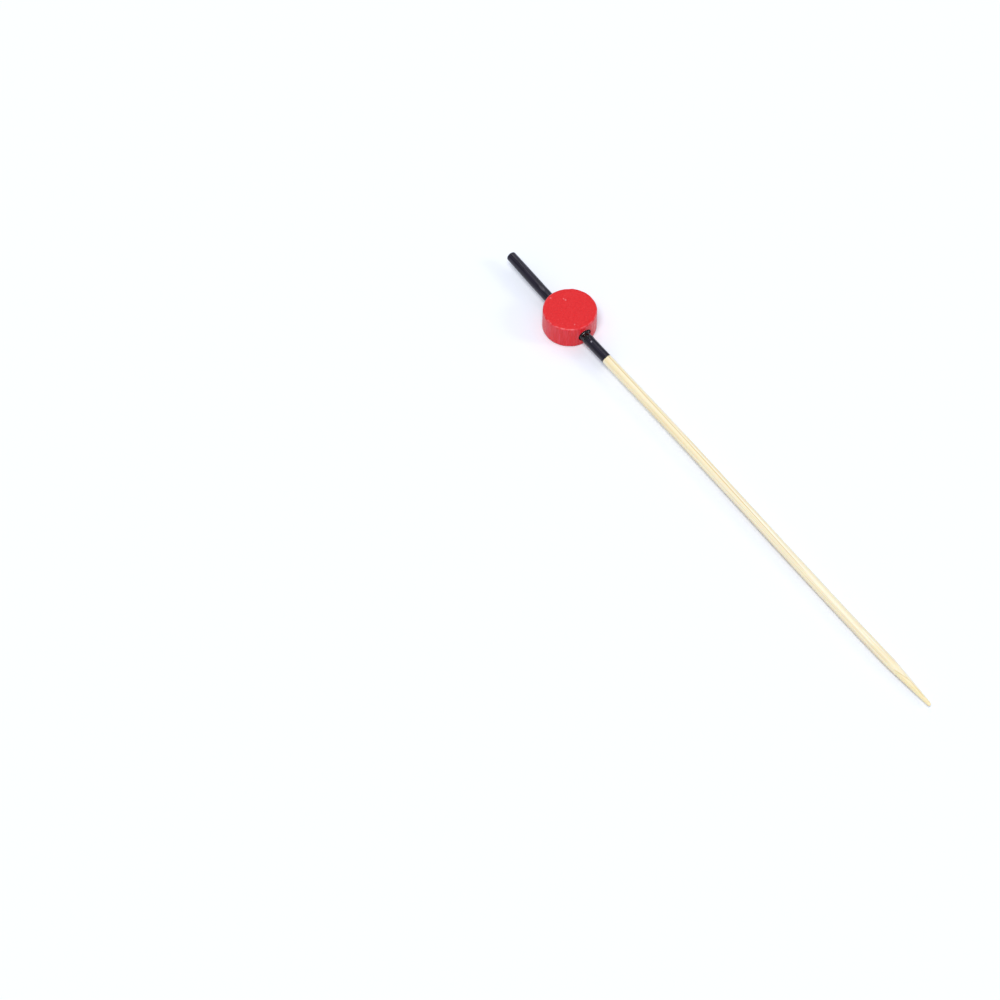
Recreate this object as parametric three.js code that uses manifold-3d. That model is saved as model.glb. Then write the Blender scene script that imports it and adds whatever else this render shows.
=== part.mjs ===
// A bamboo cocktail pick: a round stick, ground to a point at one end and dyed black at the other,
// carrying a disc bead drilled from side to side, with the clear glue that holds the bead on the stick.
// Millimetres, +Z up. The origin is the centre of the bead's lower flat face. +X runs along the stick
// towards its point. The stick lies low in the bead's hole, which is wider than the stick.

import * as THREE from 'three';
import { mergeVertices } from 'three/addons/utils/BufferGeometryUtils.js';
import Module from 'manifold-3d';

// The stick
const stickLength = 150;
const stickDiameter = 2.4;
const pointLength = 14;
const pointFullness = 1.35;
const tipRadius = 0.42;
const tipRound = 0.5;
const tailEdgeRadius = 0.2;
const dyedLength = 37;
const dyeEdge = 0.1;

// The bead, and the hole drilled through it for the stick
const beadDiameter = 12.2;
const beadThickness = 6;
const beadEdgeRadius = 0.45;
const beadFromTail = 22.5;
const holeHeight = 2.85;
const holeRoom = 0.3;
const holeEdgeBreak = 0.3;
const holeEdgeSlope = 0.6;

// The glue, which fills the hole round the stick and wells up at the mouth on the point side
const glueClearance = 0.04;
const glueLeast = 0.05;
const glueFilm = 0.12;
const glueRise = 0.3;
const collarLength = 0.7;
const filmLength = 1.7;
const glueRecess = 0.6;

// Steps round a full turn and along the curved stretches
const stickSides = 48;
const beadSides = 96;
const edgeSteps = 4;
const pointSteps = 14;
const glueSteps = 6;

// Sizes that follow from the driving ones
const stickRadius = stickDiameter / 2;
const beadRadius = beadDiameter / 2;
const holeRadius = stickRadius + holeRoom;
const holeWallEnd = Math.sqrt(beadRadius ** 2 - holeRadius ** 2) - holeEdgeBreak;
const glueInner = stickRadius + glueClearance;
const glueOuter = holeRadius - glueClearance;
const stickHeight = holeHeight - (glueOuter - glueInner - glueLeast);

const bambooColour = new THREE.Color('#f2e4bd');
const dyeColour = new THREE.Color('#25232c');
const beadColour = new THREE.Color('#dc3238');
const glueColour = new THREE.Color('#f4f1e6');

// Points of a quarter round between two directions, as radius and place along the axis.
function quarterRound(centreRadius, centreAlong, radius, fromAngle, toAngle) {
  const points = [];
  for (let i = 0; i <= edgeSteps; i += 1) {
    const angle = fromAngle + (toAngle - fromAngle) * (i / edgeSteps);
    const out = centreRadius + radius * Math.cos(angle);
    const along = centreAlong + radius * Math.sin(angle);
    points.push(new THREE.Vector2(out, along));
  }
  return points;
}

// A profile of radius against place along the axis, turned into a solid that lies along +X.
function turnedAlongX(profile, sides) {
  const geometry = new THREE.LatheGeometry(profile, sides);
  geometry.rotateZ(-Math.PI / 2);
  return geometry;
}

// The point's radius grows from the tip's own radius to the stick's. What it still lacks falls as a power
// of the share of the point that is left: above a power of 1 the sides are full and run smoothly into the
// shank. The very end is rounded over, so the tip is blunt, as a ground bamboo point is.
function pointRadius(fromTip) {
  const lacking = (1 - fromTip / pointLength) ** pointFullness;
  const tapered = tipRadius + (stickRadius - tipRadius) * (1 - lacking);
  const toRound = Math.max(0, 1 - fromTip / tipRound);
  return tapered * Math.sqrt(1 - toRound ** 2);
}

// The stick, with its tail at the origin: a square cut with a softened edge, a plain round shank with
// rings of points at the edge of the dye, and the ground point.
function makeStick() {
  const profile = [new THREE.Vector2(0, 0)];
  const edgeCentre = stickRadius - tailEdgeRadius;
  profile.push(...quarterRound(edgeCentre, tailEdgeRadius, tailEdgeRadius, -Math.PI / 2, 0));
  profile.push(new THREE.Vector2(stickRadius, dyedLength - dyeEdge / 2));
  profile.push(new THREE.Vector2(stickRadius, dyedLength + dyeEdge / 2));
  for (let i = 0; i <= pointSteps; i += 1) {
    const fromTip = pointLength * (1 - i / pointSteps) ** 2;
    profile.push(new THREE.Vector2(pointRadius(fromTip), stickLength - fromTip));
  }
  const geometry = turnedAlongX(profile, stickSides);

  const place = geometry.getAttribute('position');
  const dyed = new THREE.Color(1, 1, 1);
  dyed.setRGB(dyeColour.r / bambooColour.r, dyeColour.g / bambooColour.g, dyeColour.b / bambooColour.b);
  const tint = new Float32Array(place.count * 3);
  for (let i = 0; i < place.count; i += 1) {
    const shade = place.getX(i) < dyedLength ? dyed : new THREE.Color(1, 1, 1);
    shade.toArray(tint, i * 3);
  }
  geometry.setAttribute('color', new THREE.BufferAttribute(tint, 3));

  const material = new THREE.MeshStandardMaterial({ color: bambooColour, roughness: 0.55, metalness: 0 });
  material.vertexColors = true;
  const stick = new THREE.Mesh(geometry, material);
  stick.name = 'bamboo_stick';
  stick.position.x = -beadFromTail;
  return stick;
}

// Turns a closed geometry into a solid that can be cut, without the flat triangles at its poles.
function toSolid(wasm, geometry) {
  const bare = geometry.clone();
  bare.deleteAttribute('normal');
  bare.deleteAttribute('uv');
  const merged = mergeVertices(bare);
  const index = merged.getIndex().array;
  const kept = [];
  for (let i = 0; i < index.length; i += 3) {
    const [a, b, c] = [index[i], index[i + 1], index[i + 2]];
    if (a !== b && b !== c && c !== a) kept.push(a, b, c);
  }
  const vertProperties = Float32Array.from(merged.getAttribute('position').array);
  const triVerts = Uint32Array.from(kept);
  return new wasm.Manifold(new wasm.Mesh({ numProp: 3, vertProperties, triVerts }));
}

// Turns a cut solid back into a geometry.
function toGeometry(solid) {
  const mesh = solid.getMesh();
  const geometry = new THREE.BufferGeometry();
  geometry.setAttribute('position', new THREE.BufferAttribute(mesh.vertProperties, 3));
  geometry.setIndex(new THREE.BufferAttribute(mesh.triVerts, 1));
  geometry.computeVertexNormals();
  return geometry;
}

// The disc before it is drilled, standing on its lower face, with both rims rounded. It can be made
// wider all round by a margin.
function makeDisc(margin) {
  const radius = beadRadius + margin;
  const rimCentre = radius - beadEdgeRadius;
  const profile = [new THREE.Vector2(0, 0)];
  profile.push(...quarterRound(rimCentre, beadEdgeRadius, beadEdgeRadius, -Math.PI / 2, 0));
  profile.push(...quarterRound(rimCentre, beadThickness - beadEdgeRadius, beadEdgeRadius, 0, Math.PI / 2));
  profile.push(new THREE.Vector2(0, beadThickness));
  const geometry = new THREE.LatheGeometry(profile, beadSides);
  geometry.rotateX(Math.PI / 2);
  return geometry;
}

// What the drill takes out: a plain bore, opening out where the painted edge of each mouth is worn. It
// lies at the height of the hole over the lower face, and it can be made smaller all round by an inset.
function makeDrilling(inset) {
  const reach = beadRadius + holeEdgeBreak;
  const bore = holeRadius - inset;
  const mouthRadius = bore + (reach - holeWallEnd) * holeEdgeSlope;
  const profile = [
    new THREE.Vector2(0, -reach),
    new THREE.Vector2(mouthRadius, -reach),
    new THREE.Vector2(bore, -holeWallEnd),
    new THREE.Vector2(bore, holeWallEnd),
    new THREE.Vector2(mouthRadius, reach),
    new THREE.Vector2(0, reach),
  ];
  const geometry = turnedAlongX(profile, stickSides);
  geometry.translate(0, 0, holeHeight);
  return geometry;
}

function makeBead(wasm) {
  const drilled = toSolid(wasm, makeDisc(0)).subtract(toSolid(wasm, makeDrilling(0)));
  const material = new THREE.MeshStandardMaterial({ color: beadColour, roughness: 0.45, metalness: 0 });
  const bead = new THREE.Mesh(toGeometry(drilled), material);
  bead.name = 'disc_bead';
  return bead;
}

// The glue inside the hole, turned about the hole's own axis: from the rear end out to the mouth, up the
// worn edge and down in a hollow curve towards the stick.
function makeGlueFill() {
  const rearEnd = -(holeWallEnd - glueRecess);
  const fillLine = holeWallEnd + glueRise;
  const collarRadius = glueOuter + glueRise * holeEdgeSlope;
  const sunkRadius = glueInner - (holeHeight - stickHeight);
  const profile = [
    new THREE.Vector2(0, rearEnd - glueFilm),
    new THREE.Vector2(glueInner, rearEnd - glueFilm),
    new THREE.Vector2(glueOuter, rearEnd),
    new THREE.Vector2(glueOuter, holeWallEnd),
  ];
  for (let i = 0; i <= glueSteps; i += 1) {
    const share = (1 - i / glueSteps) ** 2;
    const along = fillLine + collarLength * (i / glueSteps);
    profile.push(new THREE.Vector2(sunkRadius + (collarRadius - sunkRadius) * share, along));
  }
  profile.push(new THREE.Vector2(0, fillLine + collarLength));
  const geometry = turnedAlongX(profile, stickSides);
  geometry.translate(0, 0, holeHeight);
  return geometry;
}

// The thin run of glue along the stick outside the mouth, turned about the stick's axis, which ends in a
// small rounded bead.
function makeGlueRun() {
  const filmStart = holeWallEnd + glueRise;
  const filmEnd = filmStart + collarLength + filmLength;
  const profile = [new THREE.Vector2(0, filmStart), new THREE.Vector2(glueInner + glueFilm, filmStart)];
  profile.push(...quarterRound(glueInner, filmEnd, glueFilm, 0, Math.PI / 2));
  profile.push(new THREE.Vector2(0, filmEnd + glueFilm));
  const geometry = turnedAlongX(profile, stickSides);
  geometry.translate(0, 0, stickHeight);
  return geometry;
}

// A round bar along +X on the stick's axis, a little wider than the stick and longer than the bead.
function makeStickRoom() {
  const reach = beadDiameter;
  const profile = [
    new THREE.Vector2(0, -reach),
    new THREE.Vector2(glueInner, -reach),
    new THREE.Vector2(glueInner, reach),
    new THREE.Vector2(0, reach),
  ];
  const geometry = turnedAlongX(profile, stickSides);
  geometry.translate(0, 0, stickHeight);
  return geometry;
}

// The glue as one ring: the fill and the run, kept off the bead and off the stick by the clearance.
function makeGlue(wasm) {
  const poured = toSolid(wasm, makeGlueFill()).add(toSolid(wasm, makeGlueRun()));
  const beadRoom = toSolid(wasm, makeDisc(glueClearance)).subtract(toSolid(wasm, makeDrilling(glueClearance)));
  const kept = poured.subtract(beadRoom).subtract(toSolid(wasm, makeStickRoom()));

  const material = new THREE.MeshStandardMaterial({ color: glueColour, roughness: 0.12, metalness: 0 });
  material.transparent = true;
  material.opacity = 0.45;
  const glue = new THREE.Mesh(toGeometry(kept), material);
  glue.name = 'glue_bond';
  return glue;
}

const wasm = await Module();
wasm.setup();

const stick = makeStick();
stick.position.z = stickHeight;

const group = new THREE.Group();
group.add(stick, makeBead(wasm), makeGlue(wasm));

export default group;
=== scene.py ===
"""Looks of a bamboo cocktail pick with a red disc bead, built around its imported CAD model.

Lengths are written in millimetres and turned to metres where a mesh, a light or the camera is made. The
frame is the CAD model's: the origin is the centre of the bead's lower flat face, +X runs along the stick
to its point, and +Z is the bead's own axis.
"""

import logging
import math
from dataclasses import dataclass, field
from enum import Enum

import bmesh
import bpy
import numpy as np
from mathutils import Matrix, Vector


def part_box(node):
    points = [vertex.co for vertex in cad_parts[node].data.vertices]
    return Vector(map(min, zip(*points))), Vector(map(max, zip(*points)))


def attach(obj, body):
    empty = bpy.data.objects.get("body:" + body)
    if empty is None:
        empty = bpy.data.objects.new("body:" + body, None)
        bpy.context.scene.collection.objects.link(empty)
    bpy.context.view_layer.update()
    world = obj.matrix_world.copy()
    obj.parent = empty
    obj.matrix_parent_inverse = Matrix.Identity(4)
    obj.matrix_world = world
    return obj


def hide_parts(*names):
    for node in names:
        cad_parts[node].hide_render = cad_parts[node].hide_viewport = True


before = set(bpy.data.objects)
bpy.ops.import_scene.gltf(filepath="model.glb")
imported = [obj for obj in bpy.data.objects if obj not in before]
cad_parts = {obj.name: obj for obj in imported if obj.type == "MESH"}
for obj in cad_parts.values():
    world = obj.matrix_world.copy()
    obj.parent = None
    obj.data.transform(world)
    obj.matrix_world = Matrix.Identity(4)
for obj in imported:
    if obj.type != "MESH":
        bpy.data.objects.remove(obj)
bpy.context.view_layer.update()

MM = 0.001

# A Mix node has a socket A and a socket B for each kind of data, so its colour sockets go by number.
MIX_SHARE, MIX_UNDER, MIX_OVER, MIX_RESULT = 0, 6, 7, 2

LOG = logging.getLogger("cocktail_pick")


class Slot(Enum):
    """The record's material slots."""

    BAMBOO = "bamboo"
    LACQUER = "black_lacquer"
    PAINT = "painted_bead"
    GLUE = "clear_glue"


class Node(Enum):
    """The CAD nodes."""

    STICK = "bamboo_stick"
    BEAD = "disc_bead"
    GLUE = "glue_bond"


def node_box(node: Node) -> tuple[np.ndarray, np.ndarray]:
    """Lowest and highest corner of a CAD node in millimetres.

    Args:
        node: The CAD node.

    Returns:
        The two corners.
    """
    low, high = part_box(node.value)
    return np.array(low) / MM, np.array(high) / MM


STICK_LOW, STICK_HIGH = node_box(Node.STICK)
BEAD_LOW, BEAD_HIGH = node_box(Node.BEAD)
GLUE_LOW, GLUE_HIGH = node_box(Node.GLUE)


def linear(hex_colour: str) -> tuple[float, float, float, float]:
    """Turns an sRGB colour to the linear one that a shader takes.

    Args:
        hex_colour: Six hex digits.

    Returns:
        Linear red, green, blue and an alpha of 1.
    """
    srgb = [int(hex_colour[i : i + 2], 16) / 255 for i in (0, 2, 4)]
    light = [c / 12.92 if c <= 0.04045 else ((c + 0.055) / 1.055) ** 2.4 for c in srgb]
    return (*light, 1.0)


def smooth_step(low: float, high: float, value: np.ndarray) -> np.ndarray:
    """A smooth rise from 0 at low to 1 at high: the cubic 3t^2 - 2t^3 of the share t between them.

    Args:
        low: Where the rise starts.
        high: Where it ends.
        value: Where it is worked out.

    Returns:
        The height of the rise at each value.
    """
    share = np.clip((value - low) / (high - low), 0.0, 1.0)
    return share * share * (3.0 - 2.0 * share)


@dataclass(frozen=True)
class Ripples:
    """A smooth seeded field with a mean of 0 and a mean square of about 1.

    It is a sum of plane waves of random direction, length and phase, divided by the square root of half
    their number. The typical wavelength may differ along X, Y and Z, which draws the field out as grain.
    """

    seed: int
    wavelength: tuple[float, float, float]
    waves: int = 48

    def at(self, points: np.ndarray) -> np.ndarray:
        """The field at points.

        Args:
            points: Places in millimetres, with X, Y and Z along the last axis.

        Returns:
            One value for each point.
        """
        rng = np.random.default_rng(self.seed)
        heading = rng.normal(size=(self.waves, 3))
        heading /= np.linalg.norm(heading, axis=1, keepdims=True)
        stretch = rng.uniform(0.6, 1.5, size=(self.waves, 1))
        number = 2.0 * math.pi * heading * stretch / np.array(self.wavelength)
        phase = rng.uniform(0.0, 2.0 * math.pi, size=self.waves)
        total = np.zeros(points.shape[:-1])
        for k in range(self.waves):
            total += np.cos(points @ number[k] + phase[k])
        return total / math.sqrt(self.waves / 2.0)


@dataclass
class Sheet:
    """Vertices and faces gathered from grids, made into one mesh at the end."""

    points: list[np.ndarray] = field(default_factory=list)
    faces: list[np.ndarray] = field(default_factory=list)
    count: int = 0

    def add(self, points: np.ndarray, faces: np.ndarray) -> int:
        """Adds vertices and the faces that join them.

        Args:
            points: Vertices in millimetres, one row each.
            faces: Indices into these vertices, three or four to a row.

        Returns:
            The index of the first of these vertices.
        """
        start = self.count
        self.points.append(points.reshape(-1, 3))
        self.faces.append(faces + start)
        self.count += len(self.points[-1])
        return start

    def add_band(self, first: int, second: int, sides: int) -> None:
        """Joins two rings that are already here, as ring_faces would if the second followed the first.

        Args:
            first: Index of the first ring's first vertex.
            second: Index of the second ring's first vertex.
            sides: Vertices in each ring.
        """
        here = np.arange(sides)
        following = (here + 1) % sides
        quads = [first + here, first + following, second + following, second + here]
        self.faces.append(np.stack(quads, -1))

    def add_pole(self, place: np.ndarray, ring: int, sides: int, ahead: bool) -> None:
        """Closes a ring with triangles to a pole.

        Args:
            place: The pole, in millimetres.
            ring: Index of the ring's first vertex.
            sides: Vertices in the ring.
            ahead: Whether the rings advance towards the pole, and otherwise away from it.
        """
        pole = np.full(sides, self.add(place, np.zeros((0, 3), dtype=int)))
        here = ring + np.arange(sides)
        following = ring + (np.arange(sides) + 1) % sides
        order = [pole, here, following] if ahead else [pole, following, here]
        self.faces.append(np.stack(order, -1))

    def add_shell(self, outer: np.ndarray, inner: np.ndarray) -> None:
        """Adds a closed wall: an outer and an inner skin of rings, joined at both ends.

        Args:
            outer: Points by ring and side.
            inner: As many points, under the outer ones.
        """
        rows, sides = outer.shape[:2]
        faces = ring_faces(rows, sides)
        out_start = self.add(outer, faces)
        in_start = self.add(inner, faces[:, ::-1])
        last = (rows - 1) * sides
        self.add_band(in_start, out_start, sides)
        self.add_band(out_start + last, in_start + last, sides)

    def make(self, name: str, weld: float = 0.0) -> bpy.types.Object:
        """Makes the mesh and its object, smooth shaded, with the place in the mesh.

        Args:
            name: The piece's name.
            weld: Distance in millimetres under which vertices are merged, or 0.

        Returns:
            The new object.
        """
        mesh = bpy.data.meshes.new(name)
        points = np.concatenate(self.points) * MM
        loops = np.concatenate([f.ravel() for f in self.faces]).astype(np.int32)
        sides = np.concatenate([np.full(len(f), f.shape[1]) for f in self.faces]).astype(np.int32)
        starts = (np.cumsum(sides) - sides).astype(np.int32)
        mesh.vertices.add(len(points))
        mesh.vertices.foreach_set("co", points.astype(np.float32).ravel())
        mesh.loops.add(len(loops))
        mesh.loops.foreach_set("vertex_index", loops)
        mesh.polygons.add(len(sides))
        mesh.polygons.foreach_set("loop_start", starts)
        mesh.polygons.foreach_set("loop_total", sides)
        mesh.update(calc_edges=True)
        if weld > 0.0:
            work = bmesh.new()
            work.from_mesh(mesh)
            bmesh.ops.remove_doubles(work, verts=work.verts, dist=weld * MM)
            bmesh.ops.recalc_face_normals(work, faces=work.faces)
            work.to_mesh(mesh)
            work.free()
        mesh.polygons.foreach_set("use_smooth", np.ones(len(mesh.polygons), dtype=bool))
        mesh.validate()
        piece = bpy.data.objects.new(name, mesh)
        bpy.context.scene.collection.objects.link(piece)
        return piece


def vertex_places(piece: bpy.types.Object) -> np.ndarray:
    """Places of a piece's vertices.

    Args:
        piece: The piece.

    Returns:
        X, Y and Z in millimetres, one row each.
    """
    flat = np.empty(len(piece.data.vertices) * 3, dtype=np.float32)
    piece.data.vertices.foreach_get("co", flat)
    return flat.reshape(-1, 3).astype(float) / MM


def add_attribute(piece: bpy.types.Object, name: str, values: np.ndarray) -> None:
    """Stores one number for each vertex, which the piece's material reads by name.

    Args:
        piece: The piece.
        name: The attribute's name.
        values: One value for each vertex.
    """
    layer = piece.data.attributes.new(name, "FLOAT", "POINT")
    layer.data.foreach_set("value", values.astype(np.float32))


def ring_faces(rows: int, sides: int) -> np.ndarray:
    """Quads of a tube of rings that advance along +X and turn from +Y to +Z, facing outwards.

    Args:
        rows: Number of rings.
        sides: Vertices in each ring.

    Returns:
        Four indices to a face.
    """
    row = np.arange(rows - 1)[:, None] * sides
    here = np.arange(sides)[None, :]
    following = (here + 1) % sides
    quads = [row + here, row + following, row + sides + following, row + sides + here]
    return np.stack(np.broadcast_arrays(*quads), -1).reshape(-1, 4)


def patch_faces(rows: int, columns: int) -> np.ndarray:
    """Quads of an open grid.

    Args:
        rows: Rows of vertices.
        columns: Vertices in a row.

    Returns:
        Four indices to a face.
    """
    row = np.arange(rows - 1)[:, None] * columns
    here = np.arange(columns - 1)[None, :]
    quads = [row + here, row + here + 1, row + columns + here + 1, row + columns + here]
    return np.stack(np.broadcast_arrays(*quads), -1).reshape(-1, 4)


def add_node(
    tree: bpy.types.NodeTree, kind: str, settings: dict | None = None, inputs: dict | None = None
) -> bpy.types.Node:
    """Adds one node with its settings, its values and its links.

    Args:
        tree: The node tree.
        kind: The node's type.
        settings: Properties of the node.
        inputs: A value, or a socket to link from, for each input by name or number.

    Returns:
        The new node.
    """
    node = tree.nodes.new(kind)
    for key, value in (settings or {}).items():
        setattr(node, key, value)
    for key, value in (inputs or {}).items():
        if isinstance(value, bpy.types.NodeSocket):
            tree.links.new(value, node.inputs[key])
        else:
            node.inputs[key].default_value = value
    return node


def new_material(name: str) -> tuple[bpy.types.Material, bpy.types.NodeTree]:
    """Makes a material with an empty tree.

    Args:
        name: The material's name.

    Returns:
        The material and its tree.
    """
    material = bpy.data.materials.new(name)
    material.use_nodes = True
    material.node_tree.nodes.clear()
    return material, material.node_tree


def repeats(size: tuple[float, float, float]) -> tuple[float, ...]:
    """How often a pattern with this size of grain, in millimetres, repeats in a metre along X, Y and Z."""
    return tuple(1.0 / (length * MM) for length in size)


@dataclass(frozen=True)
class GroundBamboo:
    """Bamboo, split, drawn round through dies and ground smooth along the grain, left bare.

    The eye sees pale cream wood with straw-coloured fibre bundles as long fine lines, a satin shine that
    is drawn out along the stick, and cut bundles as short slanting patches on the ground point.
    """

    pale: str = "fcf1cf"
    straw: str = "f7e5b5"
    shade: str = "ebdfc2"
    heart: str = "f5e6b2"
    bundle: str = "d4b87a"
    # Painted highlight: the near-white laid in bands along the stick's upper side.
    painted_wood_highlight: str = "fffaea"
    # Painted shade: the darker, browner colour laid along the stick's underside.
    under: str = "c3a988"
    # Single fibres are finer than a pixel, so they are drawn coarser, as strands of this size.
    strand_size: tuple[float, float, float] = (14.0, 0.15, 0.15)
    tone_size: tuple[float, float, float] = (46.0, 1.1, 1.1)
    roughness: float = 0.34

    def make(self) -> bpy.types.Material:
        """Makes the material on Object coordinates and on the wood's own attributes.

        Returns:
            The material.
        """
        material, tree = new_material("ground_bamboo")
        place = add_node(tree, "ShaderNodeTexCoord").outputs["Object"]
        noises = []
        for size, detail in ((self.tone_size, 2.0), (self.strand_size, 3.0)):
            drawn = add_node(tree, "ShaderNodeMapping", inputs={"Vector": place, "Scale": repeats(size)})
            noise = add_node(
                tree,
                "ShaderNodeTexNoise",
                inputs={"Vector": drawn.outputs["Vector"], "Scale": 1.0, "Detail": detail},
            )
            noises.append(noise.outputs["Fac"])
        tone, strand = noises
        tone_share = add_node(
            tree,
            "ShaderNodeMapRange",
            {"interpolation_type": "SMOOTHSTEP"},
            {"Value": tone, "From Min": 0.38, "From Max": 0.64},
        )
        strand_share = add_node(
            tree,
            "ShaderNodeMapRange",
            inputs={"Value": strand, "From Min": 0.46, "From Max": 0.7, "To Max": 0.6},
        )
        layers = [(tone_share.outputs["Result"], self.straw), (strand_share.outputs["Result"], self.shade)]
        # Two of these attributes are painted light: highlight bands on the upper side and shade on the
        # underside.
        wood_tones_and_painted_light = {"painted_wood_highlight": self.painted_wood_highlight, "inner": self.heart, "golden": self.bundle, "under": self.under}
        for name, colour in wood_tones_and_painted_light.items():
            attribute = add_node(tree, "ShaderNodeAttribute", {"attribute_name": name})
            layers.append((attribute.outputs["Fac"], colour))
        colour = linear(self.pale)
        for share, over in layers:
            layer = add_node(
                tree,
                "ShaderNodeMix",
                {"data_type": "RGBA"},
                {MIX_SHARE: share, MIX_UNDER: colour, MIX_OVER: linear(over)},
            )
            colour = layer.outputs[MIX_RESULT]
        rough = add_node(
            tree,
            "ShaderNodeMapRange",
            inputs={
                "Value": strand,
                "From Min": 0.3,
                "From Max": 0.7,
                "To Min": self.roughness - 0.06,
                "To Max": self.roughness + 0.1,
            },
        )
        bump = add_node(
            tree,
            "ShaderNodeBump",
            inputs={"Height": strand, "Strength": 0.5, "Distance": 0.02 * MM},
        )
        shader = add_node(
            tree,
            "ShaderNodeBsdfPrincipled",
            inputs={
                "Base Color": colour,
                "Roughness": rough.outputs["Result"],
                "IOR": 1.5,
                "Normal": bump.outputs["Normal"],
                "Subsurface Weight": 0.12,
                "Subsurface Radius": (0.9 * MM, 0.6 * MM, 0.3 * MM),
                "Subsurface Scale": 1.0,
            },
        )
        add_node(tree, "ShaderNodeOutputMaterial", inputs={"Surface": shader.outputs["BSDF"]})
        return material


@dataclass(frozen=True)
class BlackLacquer:
    """Black nitrocellulose lacquer, dipped over dyed bamboo.

    The eye sees a satin black with a cool cast, a soft light streak along the upper side, and the fibres
    of the wood showing through the film as fine lengthwise lines.
    """

    film: str = "100c18"
    worn: str = "221d2e"
    # Painted highlight: a light grey laid on the film's upper side and on a nib.
    painted_lacquer_highlight: str = "8a878f"
    # The fibres under the film are finer than a pixel and are drawn coarser, as lines of this size.
    line_size: tuple[float, float, float] = (9.0, 0.24, 0.24)
    nib_size: tuple[float, float, float] = (0.5, 0.22, 0.22)
    roughness: float = 0.26

    def make(self) -> bpy.types.Material:
        """Makes the material on Object coordinates.

        Returns:
            The material.
        """
        material, tree = new_material("black_lacquer")
        place = add_node(tree, "ShaderNodeTexCoord").outputs["Object"]
        noises = []
        for size, detail in ((self.line_size, 2.0), (self.nib_size, 1.0)):
            drawn = add_node(tree, "ShaderNodeMapping", inputs={"Vector": place, "Scale": repeats(size)})
            noise = add_node(
                tree,
                "ShaderNodeTexNoise",
                inputs={"Vector": drawn.outputs["Vector"], "Scale": 1.0, "Detail": detail},
            )
            noises.append(noise.outputs["Fac"])
        lines, nibs = noises
        line_share = add_node(
            tree,
            "ShaderNodeMapRange",
            {"interpolation_type": "SMOOTHSTEP"},
            {"Value": lines, "From Min": 0.36, "From Max": 0.68},
        )
        lacquer_highlight_share = add_node(tree, "ShaderNodeAttribute", {"attribute_name": "painted_lacquer_highlight"})
        colour = linear(self.film)
        for share, over in ((line_share.outputs["Result"], self.worn), (lacquer_highlight_share.outputs["Fac"], self.painted_lacquer_highlight)):
            layer = add_node(
                tree,
                "ShaderNodeMix",
                {"data_type": "RGBA"},
                {MIX_SHARE: share, MIX_UNDER: colour, MIX_OVER: linear(over)},
            )
            colour = layer.outputs[MIX_RESULT]
        rough = add_node(
            tree,
            "ShaderNodeMapRange",
            inputs={
                "Value": lines,
                "From Min": 0.3,
                "From Max": 0.7,
                "To Min": self.roughness - 0.08,
                "To Max": self.roughness + 0.12,
            },
        )
        relief = add_node(
            tree,
            "ShaderNodeMath",
            {"operation": "MULTIPLY_ADD"},
            {0: nibs, 1: 0.4, 2: lines},
        )
        bump = add_node(
            tree,
            "ShaderNodeBump",
            inputs={"Height": relief.outputs["Value"], "Strength": 0.7, "Distance": 0.02 * MM},
        )
        shader = add_node(
            tree,
            "ShaderNodeBsdfPrincipled",
            inputs={
                "Base Color": colour,
                "Roughness": rough.outputs["Result"],
                "IOR": 1.41,
                "Normal": bump.outputs["Normal"],
            },
        )
        add_node(tree, "ShaderNodeOutputMaterial", inputs={"Surface": shader.outputs["BSDF"]})
        return material


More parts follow.
